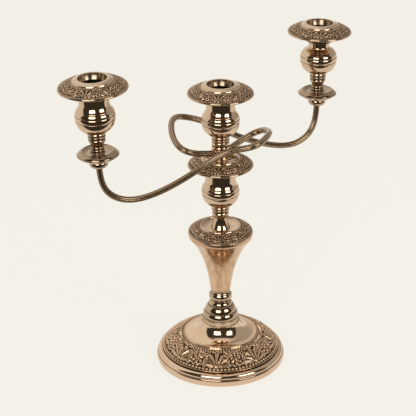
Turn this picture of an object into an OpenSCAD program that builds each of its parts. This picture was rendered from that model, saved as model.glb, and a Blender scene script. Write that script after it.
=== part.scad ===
// Three-light candelabrum: a weighted candlestick and the lift-off branch that it carries. The branch
// has two looped arms and a centre light, and each of its lights, like the candlestick, holds a
// lift-out candle nozzle with an ornamented drip pan.
// Millimetres, +Z up. The origin is the middle of the felt under the base, and X runs across the arms.

/* [Candlestick] */
// Radius of the base at its foot
base_r = 66; // [60:1:74]
// Height of the base, up to the stem
base_h = 46; // [44:1:52]
// Height of the trumpet-shaped part of the stem
trumpet_h = 64; // [54:1:80]
// Radius of the trumpet's rim
trumpet_r = 32.6; // [30:0.2:36]

/* [Branch] */
// Distance from the column to the foot of each side light
light_reach = 140; // [130:1:150]
// Turn of each side light towards the back, in degrees
light_set_back = 4; // [0:0.5:8]
// Rise of the left light's foot above a level pair, and fall of the right one's
arm_settle = 3.5; // [0:0.5:6]
// Outward lean of the left light, in degrees
left_lean = 2.5; // [0:0.1:3]
// Outward lean of the right light, in degrees
right_lean = 0.8; // [0:0.1:3]
// Diameter of an arm over its reeds
arm_d = 6.2; // [5.4:0.1:6.6]
// Number of reeds round an arm
reeds = 8; // [6:1:10]

/* [Nozzles] */
// Radius of a candle socket's bore, for a 22 mm candle
socket_r = 11.4; // [11.1:0.1:11.6]
// Depth of a candle socket's bore
socket_depth = 22; // [18:1:23]
// Depth of the right light's bore, whose cup has a narrow neck
right_socket_depth = 16; // [12:1:16]
// Radius of a nozzle's drip pan
nozzle_r = 32.8; // [30:0.2:36]

/* [Hidden] */
$fn = 96;

SILVER = [0.72, 0.58, 0.44];
ORNAMENT = [0.48, 0.38, 0.28];
STEEL = [0.55, 0.56, 0.58];
PITCH = [0.13, 0.11, 0.10];
FELT = [0.10, 0.24, 0.16];

// Gap left between two seats that part when a piece lifts off or turns
seat_gap = 0.05;
// Gap round a piece that lifts out of a bore
lift_gap = 0.3;
// Gap round the screw on which the branch turns
turn_gap = 0.05;
// Wall of the spun sheet metal
sheet = 1.1;

// Screws: the tie rod and the branch's rod are M5, the studs of the side lights M4
rod_r = 2.5;
rod_hole_r = 2.7;
stud_r = 2;
stud_hole_r = 2.1;
rod_nut = [8, 4];
stud_nut = [7, 3.2];

// Base: felt, closing plate, then the shell with its moulded foot, border and cove
felt_t = 1.2;
plate_t = 0.8;
shell_z = 0.4;
apron_z = 7.4;
border_out = [base_r - 6.2, 13.5];
border_in = [base_r - 28.4, 28.5];
cove_r = 18.9;

// Levels of the pieces stacked on the tie rod
knop_z = base_h + 20.4;
trumpet_z = knop_z + 12;
dish_z = trumpet_z + trumpet_h;
neck_z = dish_z + 5.6;
lower_cup_z = neck_z + 24.1;

// Every nozzle's rim stands this far above the seat of the cup that holds it
rim_above_cup = 43.9;
cup_h = rim_above_cup - 1.6 - seat_gap;
cup_bore_r = 13.2;
// The right light's cup ends in a narrow neck, and its nozzle rests on that by a step
step_z = -10.1;
narrow_h = rim_above_cup + step_z - seat_gap;
narrow_bore_r = 9.3;
socket_out_r = cup_bore_r - lift_gap;
socket_floor = 1.4;
socket_mouth_z = 7.4;

// Levels of the branch, from the seat of its foot on the lower nozzle's mouth
lower_rim_z = lower_cup_z + rim_above_cup;
mouth_top_z = 9.2;
foot_z = lower_rim_z + mouth_top_z + seat_gap;
hub_z = lower_rim_z + 10.3;
arm_z = hub_z + 2.7;
centre_neck_z = hub_z + 7.1;
centre_cup_z = centre_neck_z + 13.4;
centre_rim_z = centre_cup_z + rim_above_cup;
hub_r = 8.8;

// Side light, measured along its own axis from the foot where the arm enters
collar_h = 6.8;
pan_rim = 13.1;
pan_floor = 14.7;
light_cup = 35.1;
light_rim = light_cup + rim_above_cup;
arm_socket_depth = 4.6;

// Places where an arm is bent, in its own frame: X towards its light, Z from the height at which it
// leaves the hub. It sets off away from its light, loops round behind the column, then runs out.
arm_route = [
    [-7, 1, 0.5], [-40, 2, 11], [-42, 21, 19], [-23, 45, 26], [0, 53, 23], [18, 36, 16],
    [43, 23, 0], [77, 14, -16], [110, 5, -22], [133, 0, -9], [140, 0, 16.4]
];
route_reach = 140;
arm_rings = 72;
reed_depth = 0.35;
foot_rise = arm_route[len(arm_route) - 1].z;

// --- Outlines ---

// Round stretch of an outline from p to q that swells by h, outwards when h is above 0
function bow(p, q, h, n = 7) =
    let (
        d = q - p,
        half = norm(d) / 2,
        along = d / norm(d),
        out = [along.y, -along.x] * sign(h),
        r = (half * half + h * h) / (2 * abs(h)),
        a = asin(half / r),
        c = (p + q) / 2 - out * (r - abs(h))
    )
    [for (k = [0:n]) let (w = a * (2 * k / n - 1)) c + r * (along * sin(w) + out * cos(w))];

// Smooth flare from a to d that sets off towards b and arrives from c
function flare(a, b, c, d, n = 14) = [
    for (k = [0:n])
        let (t = k / n, s = 1 - t)
        s * s * s * a + 3 * s * s * t * b + 3 * s * t * t * c + t * t * t * d
];

// Turned piece with the outline given as [radius, height] points
module turned(outline) {
    rotate_extrude() polygon(outline);
}

// Hexagon nut of [width across flats, height] with a hole of radius r
module hex_nut(size, r) {
    difference() {
        cylinder(d = size[0] / cos(30), h = size[1], $fn = 6);
        translate([0, 0, -1]) cylinder(r = r + turn_gap, h = size[1] + 2);
    }
}

// --- Candlestick ---

module base_felt() {
    color(FELT) cylinder(r = base_r - 3, h = felt_t);
}

module base_plate() {
    color(STEEL) translate([0, 0, felt_t]) cylinder(r = base_r - 3, h = plate_t);
}

module base_shell() {
    outside = concat(
        bow([base_r - 0.9, shell_z], [base_r - 0.6, apron_z], 0.9),
        [[base_r - 1.4, 7.7]],
        bow([base_r - 1.2, 8], [base_r - 5.8, 12.5], 1.5),
        [[base_r - 6.9, 12.6], [base_r - 6.9, 13.3]],
        [border_out, border_in],
        [border_in + [-0.3, 0.9]],
        bow(border_in + [-1.1, 0.9], [cove_r + 1, base_h - 3], -4.2),
        [[cove_r, base_h - 2.6], [cove_r, base_h]]
    );
    inside = concat(
        [[cove_r - sheet, base_h], [cove_r - sheet, base_h - 3]],
        bow([cove_r - 0.3, base_h - 4.3], border_in + [-2.4, -0.6], 3.6),
        [border_out + [-1.5, -0.8]],
        bow([base_r - 8, 11.4], [base_r - 2.6, 7], -1.2),
        [[base_r - 2.2, shell_z]]
    );
    color(SILVER) turned(concat(outside, inside));
}

module base_border() {
    crest = 2.3;
    color(ORNAMENT) turned(concat(
        [border_out],
        bow(border_out + [0.6, 0.1], border_out + [0.1, 1.4], 0.6, 4),
        bow(border_out + [-0.4, 1.5], border_in + [1.2, 1.1], crest),
        bow(border_in + [1.1, 1.3], border_in + [-0.2, 1.0], 0.6, 4),
        [border_in]
    ));
}

module base_filling() {
    bottom = felt_t + plate_t;
    recess = [16, 9.4];
    color(PITCH) turned(concat(
        [[recess.x, bottom], [base_r - 3, bottom], [base_r - 3, 6.4], [base_r - 8.8, 10.6]],
        [border_out + [-2.4, -1]],
        bow(border_in + [-2.9, -1.2], [17.6, base_h - 5.2], -3.9),
        [[17.2, base_h - 4.6], [17.2, base_h - 1], [rod_hole_r, base_h - 1], [rod_hole_r, recess.y]],
        [recess]
    ));
}

module tie_rod() {
    bottom = 3.4;
    color(STEEL) translate([0, 0, bottom]) cylinder(r = rod_r, h = lower_cup_z + 9 - bottom);
}

module tie_washer() {
    color(STEEL) turned([[rod_hole_r, 8], [14, 8], [14, 9.4], [rod_hole_r, 9.4]]);
}

module base_nut() {
    color(STEEL) translate([0, 0, 8 - rod_nut[1]]) hex_nut(rod_nut, rod_r);
}

// Bell of three steps between the base and the knop
module stem_foot() {
    z = base_h;
    color(SILVER) turned(concat(
        [[cove_r - 0.1, z], [cove_r - 0.1, z + 1.8]],
        bow([18.2, z + 2.2], [16.7, z + 8], 0.5),
        [[16.1, z + 8.4]],
        bow([15.9, z + 8.8], [13, z + 15], 0.6),
        [[12.4, z + 15.4]],
        bow([12.2, z + 15.8], [10.4, z + 19.8], 0.5),
        [[10, knop_z], [rod_hole_r, knop_z], [rod_hole_r, knop_z - 2], [8, knop_z - 2.6]],
        [[14.6, z + 8], [16.8, z + 2], [16.8, z]]
    ));
}

module stem_knop() {
    z = knop_z;
    color(SILVER) turned(concat(
        [[rod_hole_r, z], [10.2, z], [10.2, z + 0.6]],
        bow([10.8, z + 1], [10.8, z + 8], 1.1),
        [[10.3, z + 8.4]],
        bow([10.5, z + 8.8], [9.8, z + 11.6], -0.3),
        [[9.8, trumpet_z], [rod_hole_r, trumpet_z]]
    ));
}

module stem_trumpet() {
    z = trumpet_z;
    top = dish_z;
    throat = [10.2, z + 0.8];
    lip = [trumpet_r - 1.7, top - 5.6];
    color(SILVER) turned(concat(
        [[rod_hole_r, z], [9.8, z]],
        flare(throat, [12.5, z + 0.33 * trumpet_h], [18.5, z + 0.68 * trumpet_h], lip),
        bow(lip + [0.3, 0.3], [trumpet_r, top - 1.6], 0.4, 4),
        [[trumpet_r, top], [trumpet_r - sheet, top], [trumpet_r - sheet, top - 1.6]],
        flare(lip + [-1.3, 0.9], [18.5 - sheet, z + 0.7 * trumpet_h],
            [12.5 - sheet, z + 0.35 * trumpet_h], throat + [-sheet, 2]),
        [[rod_hole_r, z + 2]]
    ));
}

// Disc that closes the trumpet and catches wax
module stem_dish() {
    z = dish_z;
    edge = trumpet_r;
    color(SILVER) turned(concat(
        [[edge - sheet, z], [edge, z], [edge, z + 0.5], [edge - 0.6, z + 1], [20.4, z + 7]],
        bow([20.1, z + 7.4], [18.7, z + 7.4], 0.6, 4),
        bow([18.4, z + 7], [11, z + 5.6], -0.5),
        [[rod_hole_r, z + 5.6], [rod_hole_r, z + 4.4], [11, z + 4.4], [18.8, z + 5.9]],
        [[edge - 1.6, z + 0.4]]
    ));
}

module stem_border() {
    low = [trumpet_r - 0.6, dish_z + 1];
    high = [20.4, dish_z + 7];
    color(ORNAMENT) turned(concat(
        [low, low + [0.5, 0.3], low + [0.2, 0.9]],
        bow(low + [-0.4, 0.8], high + [0.8, 0.7], 1),
        [high + [0.1, 1], high]
    ));
}

module stem_neck() {
    z = neck_z;
    color(SILVER) turned(concat(
        [[rod_hole_r, z], [9.8, z]],
        bow([9.6, z + 0.5], [6.8, z + 11.6], -0.8),
        [[6.8, z + 12.2]],
        bow([7.6, z + 12.8], [7.6, z + 17.8], 1),
        [[7.2, z + 18.2]],
        bow([8.2, z + 18.6], [8.6, z + 21.2], 0.5),
        [[8.4, z + 21.5]],
        bow([8.8, z + 21.8], [8.8, z + 23.8], 0.4, 4),
        [[8.6, lower_cup_z], [rod_hole_r, lower_cup_z]]
    ));
}

// Vase-shaped cup that holds a nozzle, standing on its seat, with its neck given as an outline
module vase_cup(neck, hole_r) {
    color(SILVER) turned(concat(
        [[hole_r, 0], [8.4, 0]],
        bow([8.8, 0.2], [18.7, 13.2], 2.5, 9),
        [[18.4, 13.6]],
        bow([18.7, 13.9], [18.7, 18.2], 0.4, 4),
        [[18.3, 18.5]],
        bow([18.5, 18.8], [16.9, 22.8], 0.45),
        neck,
        [[17.1, 18.4]],
        bow([17.2, 13], [8.6, 2.4], -1.6),
        [[hole_r, 2.4]]
    ));
}

function wide_neck(top_r) = concat(
    bow([16.8, 23.1], [top_r + 0.1, 28.4], -0.4),
    [[top_r, cup_h], [cup_bore_r, cup_h], [cup_bore_r, 27.6], [15.7, 22.4]]
);

function narrow_neck() = concat(
    bow([16.7, 23.1], [13.8, 26], 0.3, 5),
    bow([13.5, 26.2], [10.6, 28.6], -0.6, 5),
    [[10.4, narrow_h], [narrow_bore_r, narrow_h], [narrow_bore_r, 27.4], [12.9, 25.4]],
    [[15.7, 22.3]]
);

module lower_cup() {
    translate([0, 0, lower_cup_z]) vase_cup(wide_neck(15.3), rod_hole_r);
}

module cup_nut() {
    color(STEEL) translate([0, 0, lower_cup_z + 2.4]) hex_nut(rod_nut, rod_r);
}

// --- Nozzles, with the plane of the rim at 0 ---

// Socket whose bore is closed by a floor of the given outline, from the axis to the tube's outside
module nozzle_socket(underside, depth) {
    floor_z = socket_mouth_z - depth;
    flange = [14.9, -1.6];
    tube_r = 13.4;
    color(SILVER) turned(concat(
        underside,
        [[socket_out_r, flange.y], flange, flange + [0, 1], [tube_r, flange.y + 1]],
        [[tube_r, mouth_top_z], [tube_r - 0.5, mouth_top_z], [socket_r, socket_mouth_z]],
        [[socket_r, floor_z], [0, floor_z]]
    ));
}

module plain_socket() {
    bottom = socket_mouth_z - socket_depth - socket_floor;
    nozzle_socket([[0, bottom], [socket_out_r, bottom]], socket_depth);
}

// Socket with a plug below its step, for the narrow neck of the right light's cup
module stepped_socket() {
    bottom = step_z - 6;
    plug_r = narrow_bore_r - lift_gap;
    nozzle_socket(
        [[0, bottom], [plug_r - 0.5, bottom], [plug_r, bottom + 0.5], [plug_r, step_z],
            [socket_out_r, step_z]],
        right_socket_depth
    );
}

// The border's seat runs straight from the rim up to the lip of the well
rim_seat = [nozzle_r - 1, 0.3];
lip_seat = [19.2, 6.6];

module nozzle_pan() {
    inner_r = 13.45;
    color(SILVER) turned(concat(
        bow([nozzle_r - 0.9, -1.4], [nozzle_r - 0.5, 0.4], 0.5, 6),
        [rim_seat, lip_seat, lip_seat + [-0.3, 0.9]],
        bow([18.6, 7.7], [13.9, mouth_top_z + 0.1], 0.45),
        [[inner_r, mouth_top_z - 0.1], [inner_r, -0.6], [14.5, -0.6], [14.6, 7], [18.2, 5.5]],
        [[nozzle_r - 1.8, -0.8]]
    ));
}

module nozzle_border() {
    color(ORNAMENT) turned(concat(
        [rim_seat, rim_seat + [0.4, 0.3]],
        bow(rim_seat + [0.1, 0.6], lip_seat + [0.3, 0.7], 0.6),
        [lip_seat]
    ));
}

// --- Branch ---

// Plug that drops into the candlestick's nozzle, with a recess for the nut of the branch's rod
module branch_plug() {
    bottom = lower_rim_z + socket_mouth_z - socket_depth + 0.5;
    recess = [6, 6];
    color(SILVER) turned([
        [recess.x, bottom], [socket_r - lift_gap - 0.6, bottom], [socket_r - lift_gap, bottom + 0.8],
        [socket_r - lift_gap, foot_z - 1], [socket_r - lift_gap - 0.4, foot_z - seat_gap],
        [rod_r + turn_gap, foot_z - seat_gap], [rod_r + turn_gap, bottom + recess.y],
        [recess.x, bottom + recess.y]
    ]);
}

module branch_foot() {
    z = foot_z;
    color(SILVER) turned(concat(
        [[rod_hole_r, z], [12.6, z]],
        bow([12.8, z + 0.1], [12.6, z + 0.8], 0.25, 4),
        [[9.4, hub_z], [rod_hole_r, hub_z]]
    ));
}

// Drum that the two arms are let into, drilled along the way each arm sets off
module branch_hub() {
    color(SILVER) difference() {
        turned(concat(
            [[rod_hole_r, hub_z]],
            bow([hub_r, hub_z], [hub_r, centre_neck_z], 0.3),
            [[rod_hole_r, centre_neck_z]]
        ));
        arm_hole(left_azimuth);
        arm_hole(right_azimuth);
    }
}

module arm_hole(azimuth) {
    start = arm_at(0, 0);
    away = route_slope(0);
    rotate([0, 0, azimuth]) translate(start)
        rotate([0, acos(away.z / norm(away)), atan2(away.y, away.x)])
            translate([0, 0, -0.3]) cylinder(d = arm_d + 0.2, h = 12);
}

module branch_rod() {
    bottom = lower_rim_z + socket_mouth_z - socket_depth + 3;
    color(STEEL) translate([0, 0, bottom]) cylinder(r = rod_r, h = centre_cup_z + 9 - bottom);
}

module plug_nut() {
    top = lower_rim_z + socket_mouth_z - socket_depth + 6.4;
    color(STEEL) translate([0, 0, top - rod_nut[1]]) hex_nut(rod_nut, rod_r);
}

module centre_neck() {
    z = centre_neck_z;
    color(SILVER) turned(concat(
        [[rod_hole_r, z], [8.4, z]],
        bow([8.6, z + 0.3], [8.4, z + 3.2], 0.5, 5),
        [[7.8, z + 3.5]],
        bow([8.2, z + 3.9], [8.2, z + 7.8], 0.6, 5),
        [[7.9, z + 8.2]],
        bow([8.4, z + 8.5], [8.4, z + 10.6], 0.5, 5),
        [[8.2, z + 10.8]],
        bow([8.5, z + 11], [8.6, z + 13.2], 0.4, 5),
        [[8.4, centre_cup_z], [rod_hole_r, centre_cup_z]]
    ));
}

module centre_cup() {
    translate([0, 0, centre_cup_z]) vase_cup(wide_neck(14.2), rod_hole_r);
}

module centre_nut() {
    color(STEEL) translate([0, 0, centre_cup_z + 2.4]) hex_nut(rod_nut, rod_r);
}

// --- Arms ---

// The arm is a natural cubic curve through its route: these are the curve's bends at each place
last = len(arm_route) - 1;
function pull(i) = 6 * (arm_route[i - 1] - 2 * arm_route[i] + arm_route[i + 1]);
function ease(i) = 1 / (4 - (i > 1 ? ease(i - 1) : 0));
function carry(i) = (pull(i) - (i > 1 ? carry(i - 1) : [0, 0, 0])) * ease(i);
function bend(i) = i <= 0 || i >= last ? [0, 0, 0] : carry(i) - ease(i) * bend(i + 1);
bends = [for (i = [0:last]) bend(i)];

// Point of the route at u, from 0 at the hub to last at the light
function route_at(u) =
    let (i = min(floor(u), last - 1), t = u - i, s = 1 - t)
    s * arm_route[i] + t * arm_route[i + 1]
        + (s * s * s - s) / 6 * bends[i] + (t * t * t - t) / 6 * bends[i + 1];
function route_slope(u) = route_at(u + 0.01) - route_at(max(u - 0.01, 0));

// Point of an arm whose light's foot stands rise above the level pair
function arm_at(u, rise) =
    let (p = route_at(u), out = norm([p.x, p.y]) / route_reach, k = light_reach / route_reach)
    [p.x * k, p.y * k, arm_z + p.z + rise * out * out];

function unit(v) = v / norm(v);
// Carries the side direction n on to a ring that faces along t, without twist
function carried(n, t) = unit(n - (n * t) * t);

module arm(rise, azimuth, lean) {
    tip = [light_reach, 0, arm_z + foot_rise + rise];
    up = [sin(lean), 0, cos(lean)];
    spine = concat(
        [for (k = [0:arm_rings - 1]) arm_at(last * k / arm_rings, rise)],
        [tip, tip + up * (arm_socket_depth - 0.3)]
    );
    ends = len(spine) - 1;
    ways = [for (i = [0:ends]) unit(spine[min(i + 1, ends)] - spine[max(i - 1, 0)])];
    sides = [
        for (i = 0, n = carried([0, 0, 1], ways[0]); i <= ends;
            n = carried(n, ways[min(i + 1, ends)]), i = i + 1) n
    ];
    round = 2 * reeds;
    points = [
        for (i = [0:ends], j = [0:round - 1])
            let (
                n = sides[i],
                b = cross(ways[i], n),
                a = 360 * j / round,
                r = arm_d / 2 - (j % 2) * reed_depth
            )
            spine[i] + r * (n * cos(a) + b * sin(a))
    ];
    skin = [
        for (i = [0:ends - 1], j = [0:round - 1], half = [0, 1])
            let (a = i * round + j, b = i * round + (j + 1) % round)
            half == 0 ? [a, a + round, b] : [b, a + round, b + round]
    ];
    caps = [
        [for (j = [0:round - 1]) j],
        [for (j = [round - 1:-1:0]) ends * round + j]
    ];
    color(SILVER) rotate([0, 0, azimuth]) polyhedron(points, concat(skin, caps));
}

// --- Side lights ---

right_azimuth = light_set_back;
left_azimuth = 180 - light_set_back;

// Puts a piece on the left or right light's own axis, with the arm's end at 0
module at_left() {
    rotate([0, 0, left_azimuth]) translate([light_reach, 0, arm_z + foot_rise + arm_settle])
        rotate([0, left_lean, 0]) children();
}

module at_right() {
    rotate([0, 0, right_azimuth]) translate([light_reach, 0, arm_z + foot_rise - arm_settle])
        rotate([0, right_lean, 0]) children();
}

module left_arm() {
    arm(arm_settle, left_azimuth, left_lean);
}

module right_arm() {
    arm(-arm_settle, right_azimuth, right_lean);
}

module collar() {
    arm_hole_r = arm_d / 2 + 0.25;
    color(SILVER) turned(concat(
        [[arm_hole_r, 0], [4.2, 0]],
        bow([4.6, 0.1], [8.8, 2.9], 0.9),
        bow([8.9, 3.2], [8.6, collar_h - 0.6], 0.3, 5),
        [[8.3, collar_h], [stud_hole_r, collar_h], [stud_hole_r, arm_socket_depth]],
        [[arm_hole_r, arm_socket_depth]]
    ));
}

module pan() {
    r = 19.9;
    color(SILVER) turned(concat(
        [[stud_hole_r, collar_h], [8.3, collar_h]],
        bow([8.7, collar_h + 0.3], [r - 1.1, pan_rim - 0.9], 1),
        bow([r - 0.5, pan_rim - 0.6], [r - 0.5, pan_rim + 0.4], 0.5, 5),
        bow([r - 0.9, pan_rim + 0.6], [15.6, pan_rim + 3.3], 0.5),
        bow([15.4, pan_rim + 3.6], [14.5, pan_rim + 3.6], 0.3, 4),
        bow([14.2, pan_rim + 3.2], [8.4, pan_floor], -0.6),
        [[stud_hole_r, pan_floor]]
    ));
}

module side_neck() {
    z = pan_floor;
    color(SILVER) turned(concat(
        [[stud_hole_r, z], [7.4, z]],
        bow([7.2, z + 0.2], [6.2, z + 1.6], -0.3, 4),
        [for (step = [1.9, 4.7]) each bow([5.9, z + step], [5.9, z + step + 2.4], 0.5, 5)],
        bow([5.9, z + 7.5], [7.1, z + 10.6], -0.3, 5),
        bow([7.5, z + 11], [7.5, z + 14.4], 0.7, 5),
        [[7.2, z + 14.9]],
        bow([7.9, z + 15.3], [7.9, z + 17.5], 0.5, 5),
        [[7.7, z + 17.7]],
        bow([7.9, z + 17.9], [8.1, z + 20], 0.4, 5),
        [[8, light_cup], [stud_hole_r, light_cup]]
    ));
}

module side_cup(neck) {
    translate([0, 0, light_cup]) vase_cup(neck, stud_hole_r);
}

module stud() {
    color(STEEL) translate([0, 0, arm_socket_depth + 0.1])
        cylinder(r = stud_r, h = light_cup + 7.4 - arm_socket_depth);
}

module side_nut() {
    color(STEEL) translate([0, 0, light_cup + 2.4]) hex_nut(stud_nut, stud_r);
}

module lower_nozzle_socket() {
    translate([0, 0, lower_rim_z]) plain_socket();
}

module lower_nozzle_pan() {
    translate([0, 0, lower_rim_z]) nozzle_pan();
}

module lower_nozzle_border() {
    translate([0, 0, lower_rim_z]) nozzle_border();
}

module left_nozzle_socket() {
    at_left() translate([0, 0, light_rim]) plain_socket();
}

module left_nozzle_pan() {
    at_left() translate([0, 0, light_rim]) nozzle_pan();
}

module left_nozzle_border() {
    at_left() translate([0, 0, light_rim]) nozzle_border();
}

module centre_nozzle_socket() {
    translate([0, 0, centre_rim_z]) plain_socket();
}

module centre_nozzle_pan() {
    translate([0, 0, centre_rim_z]) nozzle_pan();
}

module centre_nozzle_border() {
    translate([0, 0, centre_rim_z]) nozzle_border();
}

module right_nozzle_socket() {
    at_right() translate([0, 0, light_rim]) stepped_socket();
}

module right_nozzle_pan() {
    at_right() translate([0, 0, light_rim]) nozzle_pan();
}

module right_nozzle_border() {
    at_right() translate([0, 0, light_rim]) nozzle_border();
}

module left_collar() {
    at_left() collar();
}

module left_pan() {
    at_left() pan();
}

module left_neck() {
    at_left() side_neck();
}

module left_cup() {
    at_left() side_cup(wide_neck(14.2));
}

module left_stud() {
    at_left() stud();
}

module left_nut() {
    at_left() side_nut();
}

module right_collar() {
    at_right() collar();
}

module right_pan() {
    at_right() pan();
}

module right_neck() {
    at_right() side_neck();
}

module right_cup() {
    at_right() side_cup(narrow_neck());
}

module right_stud() {
    at_right() stud();
}

module right_nut() {
    at_right() side_nut();
}

base_felt();
base_plate();
base_shell();
base_border();
base_filling();
tie_rod();
tie_washer();
base_nut();
stem_foot();
stem_knop();
stem_trumpet();
stem_dish();
stem_border();
stem_neck();
lower_cup();
cup_nut();
lower_nozzle_socket();
lower_nozzle_pan();
lower_nozzle_border();
branch_plug();
branch_foot();
branch_hub();
branch_rod();
plug_nut();
centre_neck();
centre_cup();
centre_nut();
left_arm();
right_arm();
left_collar();
right_collar();
left_pan();
right_pan();
left_neck();
right_neck();
left_cup();
right_cup();
left_stud();
right_stud();
left_nut();
right_nut();
left_nozzle_socket();
left_nozzle_pan();
left_nozzle_border();
centre_nozzle_socket();
centre_nozzle_pan();
centre_nozzle_border();
right_nozzle_socket();
right_nozzle_pan();
right_nozzle_border();
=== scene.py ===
"""Three-light silver-plated candelabrum: a weighted candlestick that carries a lift-off branch.

Every turned piece is a lathe-spun skin with eased corners, every border is a die-struck ring, and
the two arms are drawn reeded tube. Outlines are in millimetres, and Blender's units are metres.
"""

import math

import bpy
import numpy as np
from mathutils import Matrix, Vector


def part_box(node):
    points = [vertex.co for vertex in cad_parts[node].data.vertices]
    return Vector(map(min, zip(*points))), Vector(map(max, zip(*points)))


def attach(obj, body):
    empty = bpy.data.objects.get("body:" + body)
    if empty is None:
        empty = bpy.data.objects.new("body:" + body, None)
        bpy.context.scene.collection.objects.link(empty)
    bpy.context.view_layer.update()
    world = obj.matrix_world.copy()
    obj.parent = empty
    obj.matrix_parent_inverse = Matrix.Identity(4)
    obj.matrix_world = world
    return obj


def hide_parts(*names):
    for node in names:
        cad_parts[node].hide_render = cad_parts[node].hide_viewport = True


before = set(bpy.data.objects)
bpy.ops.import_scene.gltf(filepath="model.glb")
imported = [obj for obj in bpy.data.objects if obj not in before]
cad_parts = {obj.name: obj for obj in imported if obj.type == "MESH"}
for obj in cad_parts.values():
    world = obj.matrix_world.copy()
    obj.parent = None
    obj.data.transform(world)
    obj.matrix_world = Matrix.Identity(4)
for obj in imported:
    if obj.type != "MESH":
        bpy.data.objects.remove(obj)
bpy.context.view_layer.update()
MM = 0.001

# --- Driving dimensions, in millimetres ---

BASE_R = 66
BASE_H = 46
TRUMPET_H = 64
TRUMPET_R = 32.6
LIGHT_REACH = 140
LIGHT_SET_BACK = 4
ARM_SETTLE = 3.5
LEFT_LEAN = 2.5
RIGHT_LEAN = 0.8
ARM_R = 3.1
REEDS = 8
SOCKET_R = 11.4
SOCKET_DEPTH = 22
RIGHT_SOCKET_DEPTH = 16
NOZZLE_R = 32.8

SHEET = 1.1
ROD_HOLE_R = 2.7
STUD_HOLE_R = 2.1
RIM_ABOVE_CUP = 43.9
CUP_H = RIM_ABOVE_CUP - 1.65
CUP_BORE_R = 13.2
SOCKET_OUT_R = 12.9
SOCKET_FLOOR = 1.4
SOCKET_MOUTH = 7.4
MOUTH_TOP = 9.2
STEP_Z = -10.1
NARROW_H = RIM_ABOVE_CUP + STEP_Z - 0.05
NARROW_BORE_R = 9.3
COLLAR_H = 6.8
PAN_RIM = 13.1
PAN_FLOOR = 14.7
LIGHT_CUP = 35.1
HUB_R = 8.8
ARM_SOCKET_DEPTH = 4.6

# Where an arm is bent: along X towards its light, with Z from the height at which it leaves the hub
ARM_ROUTE = [
    (-7, 1, 0.5), (-40, 2, 11), (-42, 21, 19), (-23, 45, 26), (0, 53, 23), (18, 36, 16),
    (43, 23, 0), (77, 14, -16), (110, 5, -22), (133, 0, -9), (140, 0, 16.4),
]

# Fineness of the skins
TURNED_SIDES = 144
ARM_RINGS = 330
ARM_SIDES = 64
BASE_TILES = 8
NOZZLE_TILES = 8


def level(node):
    """Height of the underside of a CAD node, in millimetres."""
    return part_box(node)[0].z / MM


# --- Outlines ---

def bow(p, q, swell, steps=12):
    """Round stretch of an outline from p to q that swells outwards, or inwards below 0."""
    p, q = np.array(p, float), np.array(q, float)
    way = q - p
    half = np.linalg.norm(way) / 2
    along = way / np.linalg.norm(way)
    out = np.array([along[1], -along[0]]) * np.sign(swell)
    radius = (half * half + swell * swell) / (2 * abs(swell))
    spread = math.asin(half / radius)
    centre = (p + q) / 2 - out * (radius - abs(swell))
    turns = np.linspace(-spread, spread, steps + 1)
    return [tuple(centre + radius * (along * math.sin(w) + out * math.cos(w))) for w in turns]


def flare(a, b, c, d, steps=26):
    """Smooth flare from a to d that sets off towards b and arrives from c."""
    a, b, c, d = (np.array(p, float) for p in (a, b, c, d))
    points = []
    for t in np.linspace(0, 1, steps + 1):
        s = 1 - t
        points.append(tuple(s**3 * a + 3 * s * s * t * b + 3 * s * t * t * c + t**3 * d))
    return points


def offset(point, dx, dy):
    return (point[0] + dx, point[1] + dy)


def eased(outline, reach=0.26, sharp=20):
    """Outline with each corner sharper than sharp degrees rounded over, and closed."""
    points = np.array(outline, float)
    gap = np.linalg.norm(points - np.roll(points, -1, axis=0), axis=1)
    points = points[gap > 1e-5]
    count = len(points)
    result = []
    for i in range(count):
        before, here, after = points[i - 1], points[i], points[(i + 1) % count]
        into, away = here - before, after - here
        len_in, len_out = np.linalg.norm(into), np.linalg.norm(away)
        into, away = into / len_in, away / len_out
        turn = math.degrees(math.acos(max(-1.0, min(1.0, float(into @ away)))))
        on_axis = here[0] < 1e-6
        if turn < sharp or on_axis:
            result.append(here)
            continue
        cut = min(reach, 0.4 * len_in, 0.4 * len_out)
        start, end = here - into * cut, here + away * cut
        for t in (0, 0.25, 0.5, 0.75, 1):
            s = 1 - t
            result.append(s * s * start + 2 * s * t * here + t * t * end)
    return supported(np.array(result))


def supported(points, longest=2.2, close=0.18):
    """Adds points on the long stretches, so that the eased corners shade cleanly."""
    result = []
    count = len(points)
    for i in range(count):
        here, after = points[i], points[(i + 1) % count]
        result.append(here)
        length = np.linalg.norm(after - here)
        on_axis = here[0] < 1e-6 and after[0] < 1e-6
        if length < 3 * close or on_axis:
            continue
        inner = max(1, int(math.ceil((length - 2 * close) / longest)))
        for k in range(inner + 1):
            t = (close + (length - 2 * close) * k / inner) / length
            result.append(here + (after - here) * t)
    return np.array(result)


def hollowness(points, span=1.3):
    """How deep each point of an outline lies in a groove, from 0 on open metal to 1."""
    after = np.roll(points, -1, axis=0) - points
    before = points - np.roll(points, 1, axis=0)
    way = after + before
    way /= np.maximum(np.linalg.norm(way, axis=1)[:, None], 1e-9)
    out = np.stack([way[:, 1], -way[:, 0]], axis=1)
    apart = points[None, :, :] - points[:, None, :]
    distance = np.linalg.norm(apart, axis=2)
    share = np.linalg.norm(after, axis=1) + np.linalg.norm(before, axis=1)
    weight = share[None, :] * np.exp(-(distance / span) ** 2)
    lift = (apart * out[:, None, :]).sum(axis=2)
    depth = (weight * np.maximum(lift, 0)).sum(axis=1) / weight.sum(axis=1)
    return np.clip(depth / (0.28 * span), 0, 1)


# --- Meshes ---

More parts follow.
